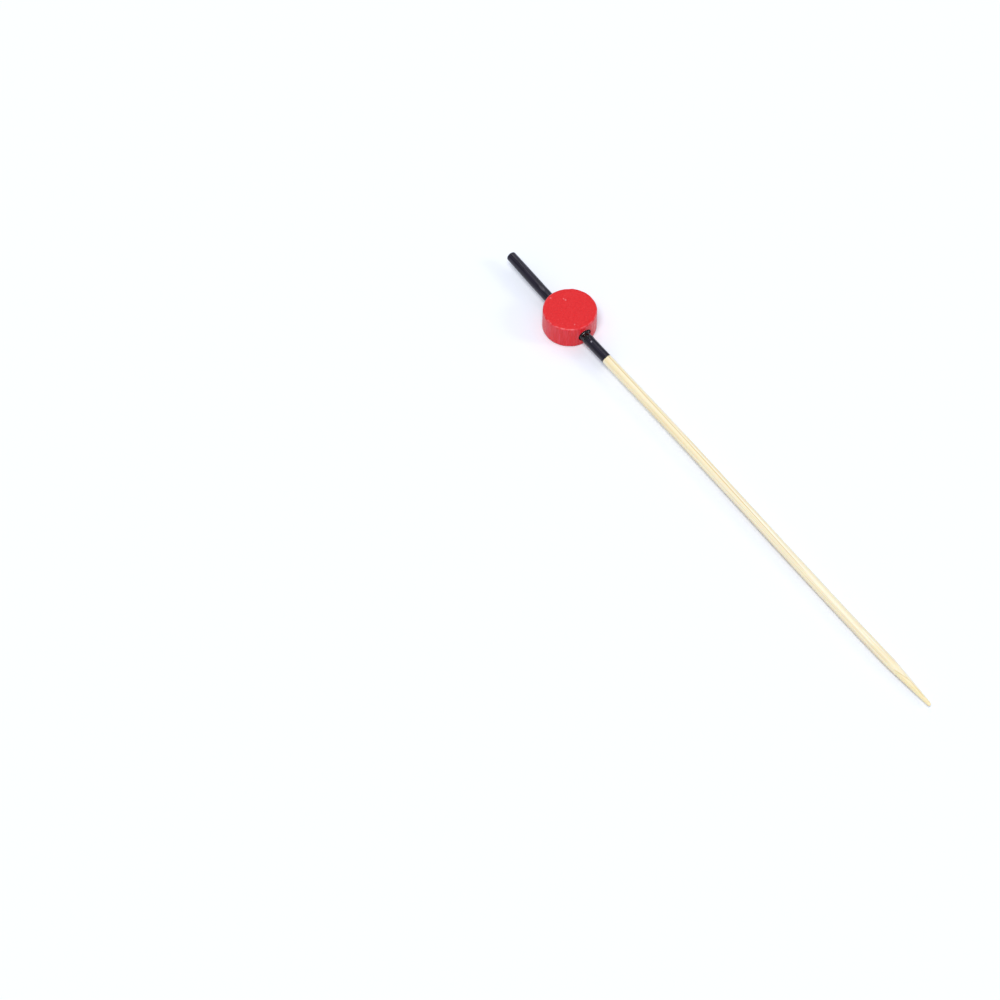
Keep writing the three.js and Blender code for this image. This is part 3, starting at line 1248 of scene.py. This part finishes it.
@dataclass
class Bead:
    """The painted disc, drilled through from side to side, with worn mouths and softened rims."""

    radius: float = float(BEAD_HIGH[0])
    height: float = float(BEAD_HIGH[2])
    skin: float = 0.014
    rim: float = 0.45
    hole: float = 1.5
    hole_height: float = 2.85
    hole_aside: float = -0.1
    mouth: float = 0.16
    mouth_depth: float = 0.3
    patch: float = 2.2
    patch_sides: int = 44
    patch_rings: int = 16
    far_steps: int = 120
    face_rings: int = 34
    rim_steps: int = 8
    bore_rings: int = 60
    mouth_steps: int = 8
    grain_height: float = 0.004
    peel_height: float = 0.0025
    streak_height: float = 0.004
    lump_height: float = 0.018
    torn_height: float = 0.012
    chip_reach: float = 1.9
    chip_apart: float = 7.0
    chip_share: float = 0.35
    rim_wear: float = 0.06
    rim_highlight_strength: float = 0.26
    flaw_strength: float = 0.5
    side_highlight_reach: float = 1.9
    grain: Ripples = Ripples(seed=31, wavelength=(0.5, 0.5, 7.0))
    peel: Ripples = Ripples(seed=32, wavelength=(0.8, 0.8, 0.8))
    streaks: Ripples = Ripples(seed=36, wavelength=(0.36, 0.36, 9.0))
    lumps: Ripples = Ripples(seed=33, wavelength=(6.0, 6.0, 9.0), waves=16)
    chips: Ripples = Ripples(seed=34, wavelength=(1.3, 1.3, 1.3), waves=24)
    wear: Ripples = Ripples(seed=35, wavelength=(2.2, 2.2, 50.0), waves=24)
    highlight_breaks: Ripples = Ripples(seed=37, wavelength=(1.1, 1.1, 1.1), waves=24)
    # A flaw is the place of its middle, as X, Y and Z, and its radius.
    flaws: tuple[tuple[float, float, float, float], ...] = (
        (-3.2, 0.56, 6.0, 0.21),
        (-2.68, 0.72, 6.0, 0.27),
        (-5.05, -1.7, 6.0, 0.24),
        (4.25, -1.8, 6.0, 0.2),
    )
    # A painted side highlight: bearing and half width in degrees, its middle's height, its strength.
    side_highlights: tuple[tuple[float, float, float, float], ...] = (
        (19.6, 1.9, 4.1, 0.8),
        (28.6, 1.6, 3.5, 0.45),
    )

    def relief(self, places: np.ndarray) -> np.ndarray:
        """How far the painted skin stands off the plain disc, in millimetres, always a little inside it.

        Args:
            places: Points on the plain disc.

        Returns:
            A distance along the normal for each point.
        """
        raised = self.grain_height * self.grain.at(places) + self.peel_height * self.peel.at(places)
        return np.clip(raised, -self.skin, self.skin) - self.skin

    def at_bearing(self, bearing: np.ndarray, reach: np.ndarray, height: np.ndarray) -> np.ndarray:
        """Points round the disc's axis.

        Args:
            bearing: Angle round the axis from +X to +Y.
            reach: Distance from the axis.
            height: Height over the lower face.

        Returns:
            The points.
        """
        across = np.broadcast_arrays(reach * np.cos(bearing), reach * np.sin(bearing), height)
        return np.stack(across, -1)

    def side_point(self, bearing: np.ndarray, height: np.ndarray) -> np.ndarray:
        """Points on the side wall.

        The wall is a cylinder, a little out of round, with the skin's relief along its radius.

        Args:
            bearing: Angle round the disc's axis from +X to +Y.
            height: Height over the lower face.

        Returns:
            The points.
        """
        ideal = self.at_bearing(bearing, self.radius, height)
        lump = self.lump_height * np.clip(self.lumps.at(ideal), -1.5, 1.5)
        streak = self.streak_height * np.clip(self.streaks.at(ideal), -1.6, 1.6)
        return self.at_bearing(bearing, self.radius + self.relief(ideal) + lump + streak, height)

    def rim_radius(self, bearing: np.ndarray) -> np.ndarray:
        """Rounding of the rims, worn more in some places than in others."""
        around = self.at_bearing(bearing, self.radius, 0.0)
        return self.rim + self.rim_wear * np.clip(self.wear.at(around), -1.5, 1.5)

    def half_patch(self) -> float:
        """Half the width of a mouth's patch, as an angle round the disc's axis."""
        return math.asin(self.patch / self.radius)

    def bearings(self) -> np.ndarray:
        """Angles of the upright lines: even over each mouth's patch and even between the patches."""
        half = self.half_patch()
        near = np.linspace(-half, half, self.patch_sides + 1)
        far = np.linspace(half, math.pi - half, self.far_steps + 1)[1:-1]
        return np.concatenate([near, far, near + math.pi, far + math.pi])

    def heights(self) -> np.ndarray:
        """Heights of the level lines over the patches."""
        middle = self.hole_height
        return np.linspace(middle - self.patch, middle + self.patch, self.patch_sides + 1)

    def add_faces_and_rims(self, sheet: Sheet) -> None:
        """Adds both flat faces, both rims and the side wall above and below the patches.

        A rim is a quarter circle from the side to the flat face, whose radius wanders round the disc. A
        flat face is rings that close on its middle.

        Args:
            sheet: Where the surfaces go.
        """
        bearing = self.bearings()
        edge = self.rim_radius(bearing)
        sides = len(bearing)
        for upper in (True, False):
            lift = 1.0 if upper else -1.0
            patch_line = self.hole_height + lift * self.patch
            flat_line = self.height if upper else 0.0
            rows = []
            for share in (0.0, 0.5):
                height = patch_line + (flat_line - lift * edge - patch_line) * share
                rows.append(self.side_point(bearing, height))
            wall = self.side_point(bearing, flat_line - lift * edge)
            wall_radius = np.hypot(wall[:, 0], wall[:, 1])
            for step in range(self.rim_steps + 1):
                angle = 0.5 * math.pi * step / self.rim_steps
                radial = wall_radius - edge * (1.0 - math.cos(angle))
                height = flat_line - lift * edge * (1.0 - math.sin(angle))
                plain = self.at_bearing(bearing, radial, height)
                plain[:, 2] += lift * self.relief(plain) * math.sin(angle)
                rows.append(plain)
            last = wall_radius - edge
            for step in range(1, self.face_rings):
                radial = last * (1.0 - step / self.face_rings)
                plain = self.at_bearing(bearing, radial, flat_line)
                plain[:, 2] += lift * self.relief(plain)
                rows.append(plain)
            start = sheet.add(np.array(rows), ring_faces(len(rows), sides))
            centre = np.array([[0.0, 0.0, flat_line]])
            centre[:, 2] += lift * self.relief(centre)
            sheet.add_pole(centre, start + (len(rows) - 1) * sides, sides, ahead=upper)

    def add_side_walls(self, sheet: Sheet) -> None:
        """Adds the two stretches of side wall between the mouths' patches.

        Args:
            sheet: Where the surfaces go.
        """
        half = self.half_patch()
        for turn in (0.0, math.pi):
            bearing = np.linspace(half, math.pi - half, self.far_steps + 1) + turn
            grid = self.side_point(bearing, self.heights()[:, None])
            sheet.add(grid, patch_faces(*grid.shape[:2]))

    def mouth_radius(self, turn: np.ndarray, facing: float) -> np.ndarray:
        """Radius of a mouth's worn edge where it meets the wall, chipped here and there.

        Args:
            turn: Angle round the hole from +Y to +Z.
            facing: 1 for the mouth on the point side, -1 for the one on the tail side.

        Returns:
            The radius.
        """
        across = self.chip_reach * np.cos(turn)
        up = self.chip_reach * np.sin(turn)
        around = np.stack(np.broadcast_arrays(facing * self.chip_apart, across, up), -1)
        chipped = np.clip(self.chips.at(around), -1.2, 1.8)
        return self.hole + self.mouth * (1.0 + self.chip_share * chipped)

    def add_mouths_and_bore(self, sheet: Sheet) -> None:
        """Adds both mouths' patches, their worn edges and the bore.

        A patch runs from the mouth's circle out to a square on the wall, straight across in bearing and
        height. Its worn edge is a quarter ellipse from the wall into the bore.

        Args:
            sheet: Where the surfaces go.
        """
        middle = self.hole_height
        half = self.half_patch()
        side = self.patch_sides
        run = np.linspace(-1.0, 1.0, side + 1)[:-1]
        ones = np.ones(side)
        square_y = np.concatenate([ones, -run, -ones, run])
        square_z = np.concatenate([run, ones, -run, -ones])
        turn = np.arctan2(square_z, square_y)
        sides = len(turn)
        aside = self.hole_aside
        ends = []
        for facing in (1.0, -1.0):
            mouth = self.mouth_radius(turn, facing)
            circle_y = aside + mouth * np.cos(turn)
            circle_z = mouth * np.sin(turn)
            rows = []
            for step in range(self.patch_rings + 1):
                share = (step / self.patch_rings) ** 0.8
                bearing = np.arcsin(circle_y / self.radius) * share + half * square_y * (1.0 - share)
                height = circle_z * share + self.patch * square_z * (1.0 - share)
                wall = self.side_point(bearing if facing > 0 else math.pi - bearing, middle + height)
                rows.append(wall)
            wall = rows[-1]
            for step in range(1, self.mouth_steps + 1):
                angle = 0.5 * math.pi * step / self.mouth_steps
                share = math.cos(angle)
                bore_radius = self.hole + (mouth - self.hole) * (1.0 - math.sin(angle))
                ring_x = wall[:, 0] - facing * self.mouth_depth * (1.0 - share)
                ring_y = aside + bore_radius * np.cos(turn) + (wall[:, 1] - circle_y) * share
                ring_z = middle + bore_radius * np.sin(turn) + (wall[:, 2] - middle - circle_z) * share
                rows.append(np.stack([ring_x, ring_y, ring_z], -1))
            sheet.add(np.array(rows), ring_faces(len(rows), sides))
            ends.append(rows[-1])
        share = np.linspace(0.0, 1.0, self.bore_rings + 1)[:, None, None]
        bore = ends[0][None] * (1.0 - share) + ends[1][None] * share
        torn = self.chips.at(bore * np.array([0.4, 2.0, 2.0]))
        rough = self.torn_height * torn * np.sqrt(np.sin(math.pi * share[..., 0]))
        bore[..., 1] += rough * np.cos(turn)
        bore[..., 2] += rough * np.sin(turn)
        sheet.add(bore, ring_faces(self.bore_rings + 1, sides))

    def build(self) -> bpy.types.Object:
        """Makes the bead's mesh from its faces, rims, walls, mouths and bore, welded to one closed skin.

        Returns:
            The piece.
        """
        sheet = Sheet()
        self.add_faces_and_rims(sheet)
        self.add_side_walls(sheet)
        self.add_mouths_and_bore(sheet)
        piece = sheet.make("disc_bead_painted", weld=1e-3)
        places = vertex_places(piece)
        add_attribute(piece, "flaws_and_painted_highlight", self.flaws_and_painted_highlight(places))
        add_attribute(piece, "painted_bore_shade", self.painted_bore_shade(places))
        return piece

    def flaws_and_painted_highlight(self, places: np.ndarray) -> np.ndarray:
        """Share of pale colour: small flaws, and painted highlight as broken rim lines and side marks.

        Args:
            places: Points on the bead, in millimetres.

        Returns:
            A share from 0 to 1 for each point.
        """
        reach = np.hypot(places[:, 0], places[:, 1])
        from_face = np.minimum(places[:, 2], self.height - places[:, 2])
        corner = np.hypot(reach - self.radius + self.rim, from_face - self.rim)
        # The rim lines are painted highlight along the middle of each rim's rounding.
        on_rim = (reach > self.radius - self.rim) & (from_face < self.rim) & (corner > 0.6 * self.rim)
        middle = np.abs(np.arctan2(self.rim - from_face, reach - self.radius + self.rim) - 0.25 * math.pi)
        broken = np.clip(0.35 + 0.5 * self.highlight_breaks.at(places), 0.0, 1.0)
        total = on_rim * (1.0 - smooth_step(0.15, 0.55, middle)) * broken * self.rim_highlight_strength
        for *at, size in self.flaws:
            off = np.linalg.norm(places - np.array(at), axis=1)
            total = np.maximum(total, self.flaw_strength * (1.0 - smooth_step(0.3 * size, size, off)))
        # The side marks are painted highlight on the side wall.
        bearing = np.degrees(np.arctan2(places[:, 1], places[:, 0]))
        frayed = np.clip(0.75 + 0.4 * self.highlight_breaks.at(places), 0.0, 1.0)
        on_side = smooth_step(self.radius - 0.3, self.radius - 0.12, reach)
        for at, width, height, strength in self.side_highlights:
            off = np.hypot((bearing - at) / width, (places[:, 2] - height) / self.side_highlight_reach)
            total = np.maximum(total, strength * frayed * on_side * (1.0 - smooth_step(0.0, 1.0, off)))
        return total

    def painted_bore_shade(self, places: np.ndarray) -> np.ndarray:
        """Share of painted shade, nearly black, on the wall of the bore."""
        off = np.hypot(places[:, 1] - self.hole_aside, places[:, 2] - self.hole_height)
        return 1.0 - smooth_step(self.hole + 0.08, self.hole + 0.2, off)

    def dress(self, piece: bpy.types.Object, finish: SatinPaint) -> None:
        """Gives the bead its finish and sets it on its body.

        Args:
            piece: The bead.
            finish: Its finish.
        """
        piece.data.materials.append(finish.make())
        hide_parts(Node.BEAD.value)
        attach(piece, "root")


@dataclass
class Glue:
    """The cured glue round the stick: a fill in the hole, a hollow collar at the mouth and a thin run."""

    stick: Stick
    bead: Bead
    rear: float = float(GLUE_LOW[0])
    front: float = float(GLUE_HIGH[0])
    run: float = 0.035
    sunk: float = 0.012
    seat: float = 0.002
    bite: float = 0.004
    fill_back: float = 0.2
    fill_slant: float = 0.15
    fill_wander: float = 0.08
    edge_back: float = 0.45
    edge_wander: float = 0.25
    margin: float = 0.02
    rear_gap: float = 0.05
    well_length: float = 0.42
    well_power: float = 1.3
    rings: int = 150
    sides: int = 96
    level: Ripples = Ripples(seed=41, wavelength=(9.0, 2.2, 2.2), waves=24)
    drops: Ripples = Ripples(seed=42, wavelength=(1.3, 1.1, 1.1), waves=32)

    def build(self) -> bpy.types.Object:
        """Makes the glue as one closed ring round the stick.

        Inside the hole its outer skin lies on the hole's wall. From a fill line that wanders round the
        stick, the height over the stick falls off exponentially to a thin run, which swells in drops and
        ends in a rounded, wandering edge. Its inner skin is sunk in the lacquer.

        Returns:
            The piece.
        """
        turn = np.linspace(0.0, 2.0 * math.pi, self.sides, endpoint=False)
        rim = self.stick.plain_round(0.0, turn)
        wall = math.sqrt(self.bead.radius**2 - self.bead.hole**2)
        fill_line = wall - self.fill_back - self.fill_slant * np.sin(turn)
        fill_line = fill_line + self.fill_wander * self.level.at(rim)
        edge = self.front - self.edge_back + self.edge_wander * self.level.at(rim + 5.0)
        edge = np.minimum(edge, self.front - self.margin)
        share = np.linspace(0.0, 1.0, self.rings)[:, None]
        x = self.rear + self.rear_gap + (edge[None, :] - self.rear - self.rear_gap) * share
        surface = self.stick.full_radius - self.seat
        drop = self.bead.hole_height - self.stick.axis_height
        aside = self.stick.centre(np.zeros(1))[0, 1] - self.bead.hole_aside
        across = drop * np.sin(turn) - aside * np.cos(turn)
        room = across + np.sqrt(across**2 + self.bead.hole**2 - drop**2 - aside**2)
        place = self.stick.plain_round(x, turn)
        run = self.run * (1.0 + 0.7 * np.clip(self.drops.at(place), -1.0, 2.0))
        past = np.clip(x - fill_line[None, :], 0.0, None)
        filled = room[None, :] + self.bite - surface
        welled = filled * np.exp(-((past / self.well_length) ** self.well_power))
        ends = np.sqrt(np.clip(1.0 - smooth_step(0.97, 1.0, share) ** 2, 0.0, 1.0))
        start = np.sqrt(np.clip(1.0 - (1.0 - smooth_step(0.0, 0.02, share)) ** 2, 0.0, 1.0))
        outer = surface + np.maximum(run * ends, welled) * start
        outer = np.where(past > 0.0, outer, surface + filled * start)
        inner = np.full_like(outer, surface - self.sunk)

        sheet = Sheet()
        sheet.add_shell(self.stick.standing_off(x, turn, outer), self.stick.standing_off(x, turn, inner))
        return sheet.make("glue_collar", weld=1e-5)

    def dress(self, piece: bpy.types.Object, finish: ClearGlue) -> None:
        """Gives the glue its finish and sets it on its body.

        Args:
            piece: The glue.
            finish: Its finish.
        """
        piece.data.materials.append(finish.make())
        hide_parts(Node.GLUE.value)
        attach(piece, "root")


@dataclass(frozen=True)
class Table:
    """How the pick lies on the table, as a frame of X right, Y away from the camera and Z up.

    The pick rests on the bead's lower rim and on the stick's underside where the point begins, so it is
    tilted a little down to the point.
    """

    bead_x: float = 15.57
    bead_y: float = 49.20
    heading_degrees: float = -54.6
    rim: float = 0.45
    point_length: float = 14.0

    def tilt(self) -> float:
        """Angle at which the pick leans down to its point, from the two places that it rests on."""
        span = float(STICK_HIGH[0]) - self.point_length - (float(BEAD_HIGH[0]) - self.rim)
        return math.atan(float(STICK_LOW[2]) / span)

    def to_part(self) -> Matrix:
        """The matrix that takes a point from the table's frame, in metres, to the part's frame.

        Returns:
            The matrix.
        """
        tilt = self.tilt()
        heading = math.radians(self.heading_degrees)
        rim_x = float(BEAD_HIGH[0]) - self.rim
        lean = Matrix.Rotation(tilt, 4, "Y")
        turn = Matrix.Rotation(heading, 4, "Z")
        contact = Matrix.Translation(Vector((-rim_x * MM, 0.0, 0.0)))
        bead_from_contact = Vector((-rim_x * math.cos(tilt), 0.0, rim_x * math.sin(tilt)))
        foot = Vector((self.bead_x, self.bead_y, 0.0)) - turn @ Vector((bead_from_contact.x, 0.0, 0.0))
        from_part = Matrix.Translation(foot * MM) @ turn @ lean @ contact
        return from_part.inverted()


@dataclass(frozen=True)
class TableTop:
    """The plain white table top, faintly cool, so that its soft shadows look lavender.

    The camera sees it overexposed to white. What it sends on to the object is a darker, unexposed white.
    """

    half_width: float = 4000.0
    white: str = "f5f9ff"
    sent_on: str = "eaeef3"

    def build(self, table: Table) -> None:
        """Makes the table top under the pick.

        Args:
            table: How the pick lies on it.
        """
        half = self.half_width * MM
        mesh = bpy.data.meshes.new("table_top")
        to_part = table.to_part()
        corners = ((-half, -half), (half, -half), (half, half), (-half, half))
        square = [to_part @ Vector((x, y, 0.0)) for x, y in corners]
        mesh.from_pydata(square, [], [(0, 1, 2, 3)])
        top = bpy.data.objects.new("table_top", mesh)
        bpy.context.scene.collection.objects.link(top)
        top.data.materials.append(self.material())

    def material(self) -> bpy.types.Material:
        """Makes the table top's material.

        Returns:
            The material.
        """
        material, tree = new_material("white_table")
        path = add_node(tree, "ShaderNodeLightPath")
        colour = add_node(
            tree,
            "ShaderNodeMix",
            {"data_type": "RGBA"},
            {
                MIX_SHARE: path.outputs["Is Camera Ray"],
                MIX_UNDER: linear(self.sent_on),
                MIX_OVER: linear(self.white),
            },
        )
        shader = add_node(tree, "ShaderNodeBsdfDiffuse", inputs={"Color": colour.outputs[MIX_RESULT]})
        add_node(tree, "ShaderNodeOutputMaterial", inputs={"Surface": shader.outputs[0]})
        return material


@dataclass(frozen=True)
class Softbox:
    """One soft light, far enough away to fall evenly on the table.

    The share is the part of a fully lit table top's brightness that comes from it.
    """

    name: str
    towards: tuple[float, float, float]
    share: float
    width_degrees: float
    colour: tuple[float, float, float] = (1.0, 1.0, 1.0)

    def build(self, table: Table) -> None:
        """Makes the lamp.

        Args:
            table: How the pick lies on the table.
        """
        towards = Vector(self.towards).normalized()
        lamp = bpy.data.lights.new(self.name, "SUN")
        lamp.energy = self.share * math.pi / towards.z
        lamp.angle = math.radians(self.width_degrees)
        lamp.color = self.colour
        holder = bpy.data.objects.new(self.name, lamp)
        bpy.context.scene.collection.objects.link(holder)
        facing = towards.to_track_quat("Z", "Y").to_matrix().to_4x4()
        holder.matrix_world = table.to_part() @ Matrix.Translation(towards) @ facing


@dataclass(frozen=True)
class Studio:
    """A pale light tent with a large light overhead and smaller ones at the right and at the back.

    Together with the room they light a flat white surface to just about white.
    """

    room: str = "ebf1ff"
    room_level: float = 0.55
    lights: tuple[Softbox, ...] = (
        Softbox("overhead", (-0.10, -0.40, 0.91), 0.52, 26.0, (1.0, 0.985, 0.97)),
        Softbox("right", (0.84, -0.16, 0.50), 0.065, 14.0),
        Softbox("back", (-0.11, 0.53, 0.84), 0.034, 16.0),
    )

    def build(self, table: Table) -> None:
        """Makes the room's light and the lamps.

        Args:
            table: How the pick lies on the table.
        """
        world = bpy.data.worlds.new("pale_room")
        bpy.context.scene.world = world
        world.use_nodes = True
        tree = world.node_tree
        tree.nodes.clear()
        path = add_node(tree, "ShaderNodeLightPath")
        lit = add_node(
            tree,
            "ShaderNodeBackground",
            inputs={"Color": linear(self.room), "Strength": self.room_level},
        )
        seen = add_node(
            tree,
            "ShaderNodeBackground",
            inputs={"Color": linear("fdfeff"), "Strength": 1.0},
        )
        surface = add_node(
            tree,
            "ShaderNodeMixShader",
            inputs={0: path.outputs["Is Camera Ray"], 1: lit.outputs[0], 2: seen.outputs[0]},
        )
        add_node(tree, "ShaderNodeOutputWorld", inputs={"Surface": surface.outputs[0]})
        for light in self.lights:
            light.build(table)


@dataclass(frozen=True)
class Photographer:
    """The camera at the photograph's viewing angle, looking down at the middle of the table top."""

    focal_length: float = 138.85
    sensor: float = 36.0
    distance: float = 836.0
    elevation_degrees: float = 52.5

    def build(self, table: Table) -> None:
        """Makes the camera and sets it as the scene's own.

        Args:
            table: How the pick lies on the table.
        """
        lens = bpy.data.cameras.new("photograph")
        lens.lens = self.focal_length
        lens.sensor_width = self.sensor
        lens.clip_start = 0.01
        lens.clip_end = 20.0
        camera = bpy.data.objects.new("photograph", lens)
        bpy.context.scene.collection.objects.link(camera)
        raised = math.radians(self.elevation_degrees)
        place = Vector((0.0, -math.cos(raised), math.sin(raised))) * self.distance * MM
        facing = Matrix.Rotation(math.pi / 2.0 - raised, 4, "X")
        camera.matrix_world = table.to_part() @ Matrix.Translation(place) @ facing
        bpy.context.scene.camera = camera


def main() -> None:
    """Builds the camera, the studio and the pieces in order, and reports each one."""
    logging.basicConfig(level=logging.INFO, format="%(name)s: %(message)s")
    bpy.context.scene.view_settings.view_transform = "Standard"

    table = Table()
    Photographer().build(table)
    Studio().build(table)
    TableTop().build(table)

    stick = Stick()
    bead = Bead()
    lacquer = Lacquer(stick)
    glue = Glue(stick, bead)
    works = (
        (stick, GroundBamboo()),
        (lacquer, BlackLacquer()),
        (bead, SatinPaint()),
        (glue, ClearGlue()),
    )
    for work, finish in works:
        piece = work.build()
        work.dress(piece, finish)
        LOG.info("%s: %d faces", piece.name, len(piece.data.polygons))


if __name__ == "__main__":
    main()
